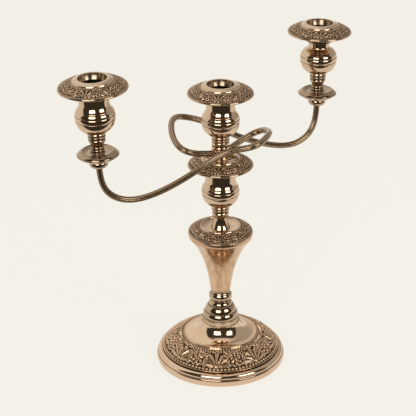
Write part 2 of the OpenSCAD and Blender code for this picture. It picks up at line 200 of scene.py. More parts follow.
def make_piece(name, points, faces, body, replaced, material, recess=None):
    """Makes one named piece of points in metres, riding on its body in place of its CAD nodes."""
    mesh = bpy.data.meshes.new(name)
    mesh.from_pydata(points.tolist(), [], faces.tolist() if hasattr(faces, "tolist") else faces)
    mesh.update()
    if recess is not None:
        layer = mesh.attributes.new("recess", "FLOAT", "POINT")
        layer.data.foreach_set("value", np.asarray(recess, np.float32))
    mesh.shade_smooth()
    piece = bpy.data.objects.new(name, mesh)
    bpy.context.scene.collection.objects.link(piece)
    mesh.materials.append(material)
    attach(piece, body)
    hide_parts(*replaced)
    return piece


def grid_faces(rows, columns, close_rows):
    """Faces between the rows of a grid whose columns close round."""
    last = rows if close_rows else rows - 1
    i = np.arange(last)[:, None]
    j = np.arange(columns)[None, :]
    after_i = (i + 1) % rows
    after_j = (j + 1) % columns
    quads = np.stack(np.broadcast_arrays(
        i * columns + j, i * columns + after_j, after_i * columns + after_j, after_i * columns + j
    ), axis=-1)
    return quads.reshape(-1, 4)


def revolved(radii, heights, sides):
    """Points of an outline turned about Z, row by row, in metres."""
    angles = 2 * math.pi * np.arange(sides) / sides
    x = radii[:, None] * np.cos(angles)[None, :]
    y = radii[:, None] * np.sin(angles)[None, :]
    z = np.broadcast_to(heights[:, None], x.shape)
    return np.stack([x, y, z], axis=-1).reshape(-1, 3) * MM


def placed(points, place):
    """Points moved to their place on the object."""
    matrix = np.array(place)
    return points @ matrix[:3, :3].T + matrix[:3, 3]


def spun(node, outline, body, material, place=Matrix.Identity(4)):
    """Lathe-turned piece that stands for a CAD node; its outline runs anticlockwise."""
    profile = eased(outline)
    # Painted shade: the hollowness of each groove is stored as 'recess', which darkens the plate
    # there, partly as tarnish and partly as painted shade.
    recess = hollowness(profile)
    poled = profile[:, 0].min() < 1e-6
    if poled:
        first = int(np.argmin(np.where(profile[:, 0] < 1e-6, profile[:, 1], np.inf)))
        profile = np.roll(profile, -first, axis=0)
        recess = np.roll(recess, -first)
        ring, shade = profile[1:-1], recess[1:-1]
    else:
        ring, shade = profile, recess
    points = revolved(ring[:, 0], ring[:, 1], TURNED_SIDES)
    shades = np.repeat(shade, TURNED_SIDES)
    faces = grid_faces(len(ring), TURNED_SIDES, not poled).tolist()
    if poled:
        ends = np.array([[0, 0, profile[0, 1] * MM], [0, 0, profile[-1, 1] * MM]])
        low, high = len(points), len(points) + 1
        top_row = (len(ring) - 1) * TURNED_SIDES
        for j in range(TURNED_SIDES):
            k = (j + 1) % TURNED_SIDES
            faces.append([low, k, j])
            faces.append([high, top_row + j, top_row + k])
        points = np.vstack([points, ends])
        shades = np.append(shades, [0, 0])
    name = node + "_turned"
    return make_piece(
        name, placed(points, place), faces, body, [node], material, shades
    )


# --- Die-struck borders ---

def stroke(panel, path, wide, narrow, high, vein=0.0, gap=0.35):
    """Presses one tapering rounded stroke along a path, with a cut line left round it."""
    x, y = panel["x"], panel["y"]
    path = np.array(path, float)
    best = np.full(x.shape, np.inf)
    part = np.zeros(x.shape)
    lengths = np.linalg.norm(np.diff(path, axis=0), axis=1)
    reached = np.concatenate([[0], np.cumsum(lengths)])
    for i in range(len(path) - 1):
        step = path[i + 1] - path[i]
        t = ((x - path[i][0]) * step[0] + (y - path[i][1]) * step[1]) / max(step @ step, 1e-12)
        t = np.clip(t, 0, 1)
        d = np.hypot(x - path[i][0] - t * step[0], y - path[i][1] - t * step[1])
        nearer = d < best
        best = np.where(nearer, d, best)
        part = np.where(nearer, (reached[i] + t * lengths[i]) / reached[-1], part)
    width = wide + (narrow - wide) * part
    inside = np.clip(1 - (best / width) ** 2, 0, 1)
    crown = high * np.sqrt(inside)
    if vein:
        crown *= 1 - vein * np.exp(-(best / (0.28 * width)) ** 2)
    outside = np.clip((best - width) / gap, 0, 1)
    panel["relief"] = np.where(best < width, np.maximum(crown, 0.35 * panel["relief"]),
                               panel["relief"] * (0.25 + 0.75 * outside))


def volute(centre, radius, start, turns, steps=40):
    """Path of a scroll that winds in to its centre, from start degrees; turns below 0 wind back."""
    path = []
    for k in range(steps + 1):
        t = k / steps
        r = radius * (1 - 0.86 * t)
        a = math.radians(start + 360 * turns * t)
        path.append((centre[0] + r * math.cos(a), centre[1] + r * math.sin(a)))
    return path


def arc(points, steps=14):
    """Smooth path through three or more points."""
    points = np.array(points, float)
    padded = np.vstack([2 * points[0] - points[1], points, 2 * points[-1] - points[-2]])
    path = []
    for i in range(1, len(padded) - 2):
        p0, p1, p2, p3 = padded[i - 1:i + 3]
        for t in np.linspace(0, 1, steps, endpoint=False):
            path.append(tuple(0.5 * (
                2 * p1 + (p2 - p0) * t + (2 * p0 - 5 * p1 + 4 * p2 - p3) * t * t
                + (3 * p1 - p0 - 3 * p2 + p3) * t**3
            )))
    path.append(tuple(points[-1]))
    return path


def bead(panel, centre, radius, high, gap=0.3):
    end = (centre[0] + 0.01, centre[1])
    stroke(panel, [centre, end], radius, radius, high, gap=gap)


def fan(panel, root, angles, inner, outer, wide, high, vein=0.35):
    """Spread of petals or leaves from a root, the later ones lying over the earlier."""
    for angle in angles:
        a = math.radians(angle)
        way = np.array([math.cos(a), math.sin(a)])
        start = np.array(root) + way * inner
        end = np.array(root) + way * outer
        stroke(panel, [start, end], 0.45 * wide, wide, high, vein)


def rosette(panel, centre, radius, petals, high, turn=0):
    """Open flower with a beaded eye."""
    step = 360 / petals
    angles = [turn + step * k for k in range(petals)]
    fan(panel, centre, angles, 0.3 * radius, 0.72 * radius, 0.3 * radius, high)
    bead(panel, centre, 0.26 * radius, high * 1.1)


def acanthus(panel, spine, lobes, wide, high, side):
    """Leaf of curled lobes along a spine; side is 1 or -1 for the way they turn."""
    spine = np.array(arc(spine), float)
    for k in range(lobes):
        t = (k + 0.6) / lobes
        i = min(int(t * (len(spine) - 1)), len(spine) - 2)
        way = spine[i + 1] - spine[i]
        way = way / np.linalg.norm(way)
        out = np.array([-way[1], way[0]]) * side
        reach = wide * (1.15 - 0.75 * t)
        root = spine[i]
        tip = root + out * reach + way * reach * 0.75
        mid = root + out * reach * 0.62 + way * reach * 0.15
        stroke(panel, arc([root, mid, tip], 6), 0.30 * wide, 0.16 * wide, high, 0.3, 0.25)
    stroke(panel, spine, 0.26 * wide, 0.12 * wide, high * 1.05, 0.0, 0.25)


def edge_row(panel, y, pitch, radius, high):
    """Row of pearls along an edge, whole in every tile."""
    width = panel["half"]
    count = max(1, round(width / pitch))
    for k in range(count):
        bead(panel, ((k + 0.5) * width / count, y), radius, high, 0.2)


def leaf_row(panel, y, pitch, length, high):
    """Row of small upright leaves along an edge."""
    width = panel["half"]
    count = max(1, round(width / pitch))
    for k in range(count):
        x = (k + 0.5) * width / count
        stroke(panel, [(x, y), (x, y + length)], 0.42 * pitch, 0.2 * pitch, high, 0.4, 0.2)


def blank_panel(half, depth, columns, rows):
    """Half of one repeat of a border: X from its middle, Y from the outer edge, in millimetres."""
    x = np.linspace(0, half, columns)
    y = np.linspace(0, depth, rows)
    grid_x, grid_y = np.meshgrid(x, y)
    ground = 0.10 * np.sin(grid_x * 9.1) * np.sin(grid_y * 9.7)
    return {"x": grid_x, "y": grid_y, "relief": np.maximum(ground, 0), "half": half}


def base_panel(half, depth, columns, rows):
    """Shell between scrolls, with leaf sprays and a flower where the repeats meet."""
    panel = blank_panel(half, depth, columns, rows)
    top = depth
    leaf_row(panel, top - 4.8, 3.1, 3.2, 0.75)
    edge_row(panel, 2.9, 3.0, 1.2, 0.8)
    # Leaf sprays above and below the scroll
    acanthus(panel, [(8.6, 0.80 * top), (12.2, 0.71 * top), (16.2, 0.80 * top)], 3, 4.4, 0.85, -1)
    acanthus(panel, [(10.6, 0.20 * top), (14.4, 0.27 * top), (18.0, 0.19 * top)], 3, 4.2, 0.85, 1)
    # Large scroll beside the shell
    scroll = [(3.0, 0.22 * top), (8.0, 0.24 * top), (11.4, 0.40 * top), (10.2, 0.58 * top)]
    stroke(panel, arc(scroll), 1.4, 1.9, 1.0, 0.4)
    stroke(panel, volute((7.5, 0.57 * top), 3.3, 0, 1.1), 1.4, 0.85, 1.05, 0.3)
    bead(panel, (7.5, 0.57 * top), 1.1, 1.1)
    # Flower between the repeats
    fan(panel, (half, 0.46 * top), [90, 56, 124], 5.0, 9.2, 1.6, 0.9)
    rosette(panel, (half, 0.46 * top), 6.0, 6, 1.05, 30)
    # Shell
    fan(panel, (0, 0.22 * top), [8, 36, 63, 90], 2.6, 11.6, 2.0, 1.1, 0.45)
    bead(panel, (0, 0.22 * top), 2.3, 1.15)
    rosette(panel, (0, 0.77 * top), 3.6, 5, 1.0, 90)
    return panel["relief"]


def nozzle_panel(half, depth, columns, rows):
    """Smaller border: a shell, a scroll and a flower to each repeat."""
    panel = blank_panel(half, depth, columns, rows)
    top = depth
    edge_row(panel, 1.5, 1.8, 0.72, 0.6)
    leaf_row(panel, top - 2.5, 1.8, 1.6, 0.5)
    acanthus(panel, [(4.4, 0.84 * top), (6.4, 0.74 * top), (8.6, 0.84 * top)], 2, 2.3, 0.7, -1)
    acanthus(panel, [(5.6, 0.22 * top), (7.6, 0.30 * top), (9.4, 0.20 * top)], 2, 2.3, 0.7, 1)
    scroll = [(1.8, 0.24 * top), (4.6, 0.30 * top), (6.0, 0.54 * top)]
    stroke(panel, arc(scroll), 0.8, 1.05, 0.8, 0.3)
    stroke(panel, volute((4.4, 0.58 * top), 1.9, 0, 1.0), 0.85, 0.55, 0.85)
    bead(panel, (4.4, 0.58 * top), 0.7, 0.9)
    rosette(panel, (half, 0.50 * top), 3.2, 5, 0.85, 90)
    fan(panel, (0, 0.24 * top), [18, 54, 90], 1.2, 6.2, 1.15, 0.85, 0.4)
    bead(panel, (0, 0.24 * top), 1.25, 0.9)
    rosette(panel, (0, 0.82 * top), 1.9, 5, 0.75, 90)
    return panel["relief"]


def blurred(relief, reach):
    """Relief averaged over reach points each way, closing round in its columns."""
    total = np.zeros_like(relief)
    count = 0
    for shift in range(-reach, reach + 1):
        total += np.roll(relief, shift, axis=1)
        count += 1
    total /= count
    rows = np.arange(len(relief))
    mixed = np.zeros_like(total)
    for shift in range(-reach, reach + 1):
        mixed += total[np.clip(rows + shift, 0, len(relief) - 1)]
    return mixed / count


def struck(node, low, high, bulge, depth_mm, tiles, draw, columns, rows, body, place, wire,
           material):
    """Border struck in relief on the seat from low, at its outer edge, to high, at its inner edge.

    bulge is how far the crest of its relief stands above the seat, and depth_mm how deep the
    relief is cut; wire is the radius of the plain beads along its edges.
    """
    low, high = np.array(low, float), np.array(high, float)
    way = high - low
    length = np.linalg.norm(way)
    along = way / length
    out = np.array([along[1], -along[0]])
    half_turn = math.pi * (low[0] + high[0]) / 2 / tiles
    relief = draw(half_turn, length, columns + 1, rows)
    tile = np.concatenate([relief[:, :-1], relief[:, :0:-1]], axis=1)
    relief = np.tile(tile, (1, tiles))
    sides = relief.shape[1]
    t = np.linspace(0, 1, rows)
    across = t * length
    dome = np.sqrt(np.clip(1 - (2 * t - 1) ** 2, 0, 1))
    ground = (bulge - depth_mm) * dome ** 0.8
    edge = np.minimum(across, length - across)
    strip = np.clip((edge - 2 * wire) / (1.2 * wire), 0, 1)
    ridge = wire * np.sqrt(np.clip(1 - ((edge - wire) / wire) ** 2, 0, 1))
    scale = depth_mm / max(relief.max(), 1e-6)
    lift = ground[:, None] * strip[:, None] + relief * scale * strip[:, None] + ridge[:, None]
    lift[0] = 0
    lift[-1] = 0
    radii = low[0] + along[0] * across[:, None] + out[0] * lift
    heights = low[1] + along[1] * across[:, None] + out[1] * lift
    angles = 2 * math.pi * np.arange(sides) / sides
    points = np.stack([
        radii * np.cos(angles)[None, :],
        radii * np.sin(angles)[None, :],
        np.broadcast_to(heights, radii.shape),
    ], axis=-1).reshape(-1, 3) * MM
    # Painted shade: hollows of the relief and the gutter inside each edge bead get a high 'recess'
    # value and crests a low one, so the plate darkens in them as tarnish and painted shade.
    hollow = blurred(relief, 6) - relief
    shade = np.clip(0.5 + hollow / (0.55 * relief.max()), 0, 1)
    shade = np.where(edge[:, None] < 2 * wire, 0.0, shade)
    gutter = np.exp(-((edge - 2.2 * wire) / (0.35 * wire)) ** 2)[:, None]
    shade = np.maximum(shade, 0.95 * gutter)
    faces = grid_faces(rows, sides, True)
    return make_piece(
        node + "_struck", placed(points, place), faces, body, [node],
        material, shade.reshape(-1)
    )


# --- Candlestick ---

def base_shell():
    border_out = (BASE_R - 6.2, 13.5)
    border_in = (BASE_R - 28.4, 28.5)
    cove_r = 18.9
    foot = 0.4
    apron = 7.4
    outside = (
        bow((BASE_R - 0.9, foot), (BASE_R - 0.6, apron), 0.9)
        + [(BASE_R - 1.4, 7.7)]
        + bow((BASE_R - 1.2, 8), (BASE_R - 5.8, 12.5), 1.5)
        + [(BASE_R - 6.9, 12.6), (BASE_R - 6.9, 13.3), border_out, border_in]
        + [offset(border_in, -0.3, 0.9)]
        + bow(offset(border_in, -1.1, 0.9), (cove_r + 1, BASE_H - 3), -4.2, 22)
        + [(cove_r, BASE_H - 2.6), (cove_r, BASE_H)]
    )
    inside = (
        [(cove_r - SHEET, BASE_H), (cove_r - SHEET, BASE_H - 3)]
        + bow((cove_r - 0.3, BASE_H - 4.3), offset(border_in, -2.4, -0.6), 3.6)
        + [offset(border_out, -1.5, -0.8)]
        + bow((BASE_R - 8, 11.4), (BASE_R - 2.6, 7), -1.2)
        + [(BASE_R - 2.2, foot)]
    )
    spun("base_shell", outside + inside, "candlestick", materials["base"])
    struck("base_border", border_out, border_in, 3.1, 1.8, BASE_TILES, base_panel, 68, 88,
           "candlestick", Matrix.Identity(4), 0.62, materials["base_ornament"])


def stem_foot():
    z = level("stem_foot")
    knop = level("stem_knop")
    outline = (
        [(18.8, z), (18.8, z + 1.8)]
        + bow((18.2, z + 2.2), (16.7, z + 8), 0.5)
        + [(16.1, z + 8.4)]
        + bow((15.9, z + 8.8), (13, z + 15), 0.6)
        + [(12.4, z + 15.4)]
        + bow((12.2, z + 15.8), (10.4, z + 19.8), 0.5)
        + [(10, knop), (ROD_HOLE_R, knop), (ROD_HOLE_R, knop - 2), (8, knop - 2.6)]
        + [(14.6, z + 8), (16.8, z + 2), (16.8, z)]
    )
    spun("stem_foot", outline, "candlestick", materials["stem"])


def stem_knop():
    z = level("stem_knop")
    outline = (
        [(ROD_HOLE_R, z), (10.2, z), (10.2, z + 0.6)]
        + bow((10.8, z + 1), (10.8, z + 8), 1.1)
        + [(10.3, z + 8.4)]
        + bow((10.5, z + 8.8), (9.8, z + 11.6), -0.3)
        + [(9.8, z + 12), (ROD_HOLE_R, z + 12)]
    )
    spun("stem_knop", outline, "candlestick", materials["stem"])


def stem_trumpet():
    z = level("stem_trumpet")
    top = z + TRUMPET_H
    throat = (10.2, z + 0.8)
    lip = (TRUMPET_R - 1.7, top - 5.6)
    outline = (
        [(ROD_HOLE_R, z), (9.8, z)]
        + flare(throat, (12.5, z + 0.33 * TRUMPET_H), (18.5, z + 0.68 * TRUMPET_H), lip)
        + bow(offset(lip, 0.3, 0.3), (TRUMPET_R, top - 1.6), 0.4, 6)
        + [(TRUMPET_R, top), (TRUMPET_R - SHEET, top), (TRUMPET_R - SHEET, top - 1.6)]
        + flare(offset(lip, -1.3, 0.9), (18.5 - SHEET, z + 0.7 * TRUMPET_H),
                (12.5 - SHEET, z + 0.35 * TRUMPET_H), offset(throat, -SHEET, 2), 12)
        + [(ROD_HOLE_R, z + 2)]
    )
    spun("stem_trumpet", outline, "candlestick", materials["trumpet"])


def stem_dish():
    z = level("stem_dish")
    outline = (
        [(TRUMPET_R - SHEET, z), (TRUMPET_R, z), (TRUMPET_R, z + 0.5)]
        + [(TRUMPET_R - 0.6, z + 1), (20.4, z + 7)]
        + bow((20.1, z + 7.4), (18.7, z + 7.4), 0.6, 6)
        + bow((18.4, z + 7), (11, z + 5.6), -0.5)
        + [(ROD_HOLE_R, z + 5.6), (ROD_HOLE_R, z + 4.4), (11, z + 4.4), (18.8, z + 5.9)]
        + [(TRUMPET_R - 1.6, z + 0.4)]
    )
    spun("stem_dish", outline, "candlestick", materials["bright"])
    struck("stem_border", (TRUMPET_R - 0.2, z + 1.1), (20.4, z + 7), 1.8, 1.2, NOZZLE_TILES,
           nozzle_panel, 50, 50, "candlestick", Matrix.Identity(4), 0.36, materials["ornament"])


def stem_neck():
    z = level("stem_neck")
    top = level("lower_cup")
    outline = (
        [(ROD_HOLE_R, z), (9.8, z)]
        + bow((9.6, z + 0.5), (6.8, z + 11.6), -0.8)
        + [(6.8, z + 12.2)]
        + bow((7.6, z + 12.8), (7.6, z + 17.8), 1)
        + [(7.2, z + 18.2)]
        + bow((8.2, z + 18.6), (8.6, z + 21.2), 0.5)
        + [(8.4, z + 21.5)]
        + bow((8.8, z + 21.8), (8.8, z + 23.8), 0.4, 6)
        + [(8.6, top), (ROD_HOLE_R, top)]
    )
    spun("stem_neck", outline, "candlestick", materials["bright"])


def vase_cup(node, neck, hole_r, body, place):
    """Vase-shaped cup that holds a nozzle, standing on its seat, with its neck as an outline."""
    outline = (
        [(hole_r, 0), (8.4, 0)]
        + bow((8.8, 0.2), (18.7, 13.2), 2.5, 20)
        + [(18.4, 13.6)]
        + bow((18.7, 13.9), (18.7, 18.2), 0.4, 8)
        + [(18.3, 18.5)]
        + bow((18.5, 18.8), (16.9, 22.8), 0.45)
        + neck
        + [(17.1, 18.4)]
        + bow((17.2, 13), (8.6, 2.4), -1.6)
        + [(hole_r, 2.4)]
    )
    spun(node, outline, body, materials["bright"], place)


def wide_neck(top_r):
    return (
        bow((16.8, 23.1), (top_r + 0.1, 28.4), -0.4)
        + [(top_r, CUP_H), (CUP_BORE_R, CUP_H), (CUP_BORE_R, 27.6), (15.7, 22.4)]
    )


def narrow_neck():
    return (
        bow((16.7, 23.1), (13.8, 26), 0.3, 7)
        + bow((13.5, 26.2), (10.6, 28.6), -0.6, 7)
        + [(10.4, NARROW_H), (NARROW_BORE_R, NARROW_H), (NARROW_BORE_R, 27.4), (12.9, 25.4)]
        + [(15.7, 22.3)]
    )


# --- Nozzles, with the plane of the rim at 0 ---

def nozzle(side, body, place, underside, depth):
    """Lift-out candle nozzle: its socket, closed by an underside, its drip pan and the border."""
    floor = SOCKET_MOUTH - depth
    flange = (14.9, -1.6)
    tube_r = 13.4
    socket = underside + [
        (SOCKET_OUT_R, flange[1]), flange, offset(flange, 0, 1), (tube_r, flange[1] + 1),
        (tube_r, MOUTH_TOP), (tube_r - 0.2, MOUTH_TOP + 0.1),
    ]
    socket += bow((tube_r - 0.3, MOUTH_TOP), (SOCKET_R, SOCKET_MOUTH - 4.2), -0.25, 8)
    socket += [(SOCKET_R, floor), (0, floor)]
    spun(side + "_nozzle_socket", socket, body, materials["socket"], place)
    rim = (NOZZLE_R - 1, 0.3)
    lip = (19.2, 6.6)
    pan = (
        bow((NOZZLE_R - 0.9, -1.4), (NOZZLE_R - 0.5, 0.4), 0.5, 8)
        + [rim, lip, offset(lip, -0.3, 0.9)]
        + bow((18.6, 7.7), (13.9, MOUTH_TOP + 0.1), 0.45)
        + [(13.45, MOUTH_TOP - 0.1), (13.45, -0.6), (14.5, -0.6), (14.6, 7), (18.2, 5.5)]
        + [(NOZZLE_R - 1.8, -0.8)]
    )
    spun(side + "_nozzle_pan", pan, body, materials["bright"], place)
    struck(side + "_nozzle_border", offset(rim, 0.35, 0.2), lip, 1.3, 1.1, NOZZLE_TILES,
           nozzle_panel, 50, 50, body, place, 0.36, materials["ornament"])


def plain_nozzle(side, body, place):
    bottom = SOCKET_MOUTH - SOCKET_DEPTH - SOCKET_FLOOR
    nozzle(side, body, place, [(0, bottom), (SOCKET_OUT_R, bottom)], SOCKET_DEPTH)


def stepped_nozzle(side, body, place):
    """Nozzle with a plug below its step, for the narrow neck of the right light's cup."""
    bottom = STEP_Z - 6
    plug_r = NARROW_BORE_R - 0.3
    underside = [
        (0, bottom), (plug_r - 0.5, bottom), (plug_r, bottom + 0.5), (plug_r, STEP_Z),
        (SOCKET_OUT_R, STEP_Z),
    ]
    nozzle(side, body, place, underside, RIGHT_SOCKET_DEPTH)


# --- Branch ---

def branch_column():
    """Plug, foot, hub and the rings under the centre light."""
    foot = level("branch_foot")
    hub = level("branch_hub")
    neck = level("centre_neck")
    cup = level("centre_cup")
    bottom = level("branch_plug")
    plug_r = SOCKET_R - 0.3
    plug = [
        (6, bottom), (plug_r - 0.6, bottom), (plug_r, bottom + 0.8), (plug_r, foot - 1),
        (plug_r - 0.4, foot - 0.05), (2.55, foot - 0.05), (2.55, bottom + 6), (6, bottom + 6),
    ]
    spun("branch_plug", plug, "plug", materials["bright"])
    flange = (
        [(ROD_HOLE_R, foot), (12.6, foot)]
        + bow((12.8, foot + 0.1), (12.6, foot + 0.8), 0.25, 6)
        + [(9.4, hub), (ROD_HOLE_R, hub)]
    )
    spun("branch_foot", flange, "branch", materials["bright"])
    drum = [(ROD_HOLE_R, hub)] + bow((HUB_R, hub), (HUB_R, neck), 0.3) + [(ROD_HOLE_R, neck)]
    spun("branch_hub", drum, "branch", materials["bright"])
    rings = (
        [(ROD_HOLE_R, neck), (8.4, neck)]
        + bow((8.6, neck + 0.3), (8.4, neck + 3.2), 0.5, 8)
        + [(7.8, neck + 3.5)]
        + bow((8.2, neck + 3.9), (8.2, neck + 7.8), 0.6, 8)
        + [(7.9, neck + 8.2)]
        + bow((8.4, neck + 8.5), (8.4, neck + 10.6), 0.5, 8)
        + [(8.2, neck + 10.8)]
        + bow((8.5, neck + 11), (8.6, neck + 13.2), 0.4, 8)
        + [(8.4, cup), (ROD_HOLE_R, cup)]
    )
    spun("centre_neck", rings, "branch", materials["bright"])


def route_curve(places):
    """Points and bends of the natural cubic curve through the route."""
    points = np.array(places, float)
    count = len(points)
    system = np.eye(count)
    pull = np.zeros_like(points)
    for i in range(1, count - 1):
        system[i, i - 1:i + 2] = (1, 4, 1)
        pull[i] = 6 * (points[i - 1] - 2 * points[i] + points[i + 1])
    return points, np.linalg.solve(system, pull)


def along_route(points, bends, u):
    i = min(int(u), len(points) - 2)
    t = u - i
    s = 1 - t
    return (s * points[i] + t * points[i + 1]
            + (s**3 - s) / 6 * bends[i] + (t**3 - t) / 6 * bends[i + 1])


def arm(side, azimuth, rise, lean, hub_level):
    """Reeded arm from the hub, round behind the column and out to its light."""
    points, bends = route_curve(ARM_ROUTE)
    last = len(points) - 1
    reach = points[-1][0]
    spine = []
    for k in range(ARM_RINGS):
        p = along_route(points, bends, last * k / ARM_RINGS)
        part = math.hypot(p[0], p[1]) / reach
        scale = LIGHT_REACH / reach
        spine.append((p[0] * scale, p[1] * scale, hub_level + p[2] + rise * part * part))
    tip = np.array([LIGHT_REACH, 0, hub_level + points[-1][2] + rise])
    up = np.array([math.sin(math.radians(lean)), 0, math.cos(math.radians(lean))])
    spine += [tuple(tip), tuple(tip + up * (ARM_SOCKET_DEPTH - 0.3))]
    spine = np.array(spine)
    ways = np.gradient(spine, axis=0)
    ways /= np.linalg.norm(ways, axis=1)[:, None]
    side_way = np.array([0.0, 0.0, 1.0])
    angles = 2 * math.pi * np.arange(ARM_SIDES) / ARM_SIDES
    place_in_reed = (angles * REEDS / math.pi + 1) % 2 - 1
    groove = 0.6 * (1 - np.sqrt(np.clip(1 - (0.96 * place_in_reed) ** 2, 0, 1)))
    radii = ARM_R - groove
    rings = []
    for centre, way in zip(spine, ways):
        side_way = side_way - way * (side_way @ way)
        side_way /= np.linalg.norm(side_way)
        other = np.cross(way, side_way)
        ring = (centre + radii[:, None] * (np.cos(angles)[:, None] * side_way
                                           + np.sin(angles)[:, None] * other))
        rings.append(ring)
    vertices = np.concatenate(rings) * MM
    faces = grid_faces(len(spine), ARM_SIDES, False).tolist()
    start = list(range(ARM_SIDES))[::-1]
    end = [(len(spine) - 1) * ARM_SIDES + j for j in range(ARM_SIDES)]
    faces += [start, end]
    turned = Matrix.Rotation(math.radians(azimuth), 4, "Z")
    # Painted shade: the reed grooves get a 'recess' value that darkens the plate in them, as
    # tarnish and painted shade.
    shade = np.tile(np.clip(groove / 0.42, 0, 1), len(spine))
    make_piece(side + "_arm_reeded", placed(vertices, turned), faces, "branch",
               [side + "_arm"], materials["arm"], shade)


def side_light(side, place):
    """Collar, drip pan, ringed neck and cup of one side light, from the arm's end up."""
    arm_hole_r = ARM_R + 0.25
    collar = (
        [(arm_hole_r, 0), (4.2, 0)]
        + bow((4.6, 0.1), (8.8, 2.9), 0.9)
        + bow((8.9, 3.2), (8.6, COLLAR_H - 0.6), 0.3, 7)
        + [(8.3, COLLAR_H), (STUD_HOLE_R, COLLAR_H), (STUD_HOLE_R, ARM_SOCKET_DEPTH)]
        + [(arm_hole_r, ARM_SOCKET_DEPTH)]
    )
    spun(side + "_collar", collar, "branch", materials["shaded"], place)
    pan_r = 19.9
    pan = (
        [(STUD_HOLE_R, COLLAR_H), (8.3, COLLAR_H)]
        + bow((8.7, COLLAR_H + 0.3), (pan_r - 1.1, PAN_RIM - 0.9), 1, 14)
        + bow((pan_r - 0.5, PAN_RIM - 0.6), (pan_r - 0.5, PAN_RIM + 0.4), 0.5, 7)
        + bow((pan_r - 0.9, PAN_RIM + 0.6), (15.6, PAN_RIM + 3.3), 0.5)
        + bow((15.4, PAN_RIM + 3.6), (14.5, PAN_RIM + 3.6), 0.3, 6)
        + bow((14.2, PAN_RIM + 3.2), (8.4, PAN_FLOOR), -0.6)
        + [(STUD_HOLE_R, PAN_FLOOR)]
    )
    spun(side + "_pan", pan, "branch", materials["shaded"], place)
    z = PAN_FLOOR
    neck = (
        [(STUD_HOLE_R, z), (7.4, z)]
        + bow((7.2, z + 0.2), (6.2, z + 1.6), -0.3, 6)
        + bow((5.9, z + 1.9), (5.9, z + 4.3), 0.5, 8)
        + bow((5.9, z + 4.7), (5.9, z + 7.1), 0.5, 8)
        + bow((5.9, z + 7.5), (7.1, z + 10.6), -0.3, 8)
        + bow((7.5, z + 11), (7.5, z + 14.4), 0.7, 8)
        + [(7.2, z + 14.9)]
        + bow((7.9, z + 15.3), (7.9, z + 17.5), 0.5, 8)
        + [(7.7, z + 17.7)]
        + bow((7.9, z + 17.9), (8.1, z + 20), 0.4, 8)
        + [(8, LIGHT_CUP), (STUD_HOLE_R, LIGHT_CUP)]
    )
    spun(side + "_neck", neck, "branch", materials["stem"], place)
    cup_place = place @ lifted(LIGHT_CUP)
    rim_place = place @ lifted(LIGHT_CUP + RIM_ABOVE_CUP)
    if side == "left":
        vase_cup("left_cup", wide_neck(14.2), STUD_HOLE_R, "branch", cup_place)
        plain_nozzle("left", "left_nozzle", rim_place)
    else:
        vase_cup("right_cup", narrow_neck(), STUD_HOLE_R, "branch", cup_place)
        stepped_nozzle("right", "right_nozzle", rim_place)


def lifted(height):
    return Matrix.Translation((0, 0, height * MM))


# --- Finishes ---

def new_group(name, inputs, outputs):
    """Empty shader node group with its named sockets; inputs are (name, kind, value)."""
    group = bpy.data.node_groups.new(name, "ShaderNodeTree")
    for title, kind, value in inputs:
        socket = group.interface.new_socket(title, in_out="INPUT", socket_type=kind)
        if value is not None:
            socket.default_value = value
    for title, kind in outputs:
        group.interface.new_socket(title, in_out="OUTPUT", socket_type=kind)
    return group


def add(tree, kind, links=(), **values):
    """Adds a node, sets its properties, and plugs in its inputs."""
    made = tree.nodes.new(kind)
    for key, value in values.items():
        setattr(made, key, value)
    for socket, source in links:
        if isinstance(source, bpy.types.NodeSocket):
            tree.links.new(source, made.inputs[socket])
        else:
            made.inputs[socket].default_value = source
    return made


def maths(tree, operation, a, b=0.0, clamp=False):
    made = add(tree, "ShaderNodeMath", [(0, a), (1, b)], operation=operation, use_clamp=clamp)
    return made.outputs[0]


def mixed(tree, factor, a, b):
    """Colour a, or b where factor is 1."""
    made = add(tree, "ShaderNodeMix", [("Factor", factor), (6, a), (7, b)], data_type="RGBA")
    return made.outputs[2]


def ranged(tree, value, low, high, to_low=0.0, to_high=1.0):
    made = add(tree, "ShaderNodeMapRange", [
        ("Value", value), ("From Min", low), ("From Max", high),
        ("To Min", to_low), ("To Max", to_high),
    ])
    return made.outputs[0]


def cloud_group():
    """Soft uneven patches, as tarnish and rubbing leave them."""
    group = new_group("patchy_film", [
        ("Vector", "NodeSocketVector", None), ("Scale", "NodeSocketFloat", 40.0),
        ("Low", "NodeSocketFloat", 0.45), ("High", "NodeSocketFloat", 0.7),
    ], [("Mask", "NodeSocketFloat")])
    entry = group.nodes.new("NodeGroupInput")
    leave = group.nodes.new("NodeGroupOutput")
    cloud = add(group, "ShaderNodeTexNoise", [
        ("Vector", entry.outputs["Vector"]), ("Scale", entry.outputs["Scale"]),
        ("Detail", 5.0), ("Roughness", 0.62), ("Distortion", 0.4),
    ])
    mask = ranged(group, cloud.outputs[0], entry.outputs["Low"], entry.outputs["High"])
    group.links.new(mask, leave.inputs["Mask"])
    return group


def streak_group():
    """Fine polishing marks, drawn out along one direction by Stretch."""
    group = new_group("polishing_marks", [
        ("Vector", "NodeSocketVector", None), ("Stretch", "NodeSocketVector", (1.0, 1.0, 1.0)),
        ("Scale", "NodeSocketFloat", 300.0),
    ], [("Mark", "NodeSocketFloat")])
    entry = group.nodes.new("NodeGroupInput")
    leave = group.nodes.new("NodeGroupOutput")
    drawn = add(group, "ShaderNodeVectorMath", [
        (0, entry.outputs["Vector"]), (1, entry.outputs["Stretch"]),
    ], operation="MULTIPLY")
    fine = add(group, "ShaderNodeTexNoise", [
        ("Vector", drawn.outputs[0]), ("Scale", entry.outputs["Scale"]),
        ("Detail", 3.0), ("Roughness", 0.7),
    ])
    mark = ranged(group, fine.outputs[0], 0.3, 0.7)
    group.links.new(mark, leave.inputs["Mark"])
    return group


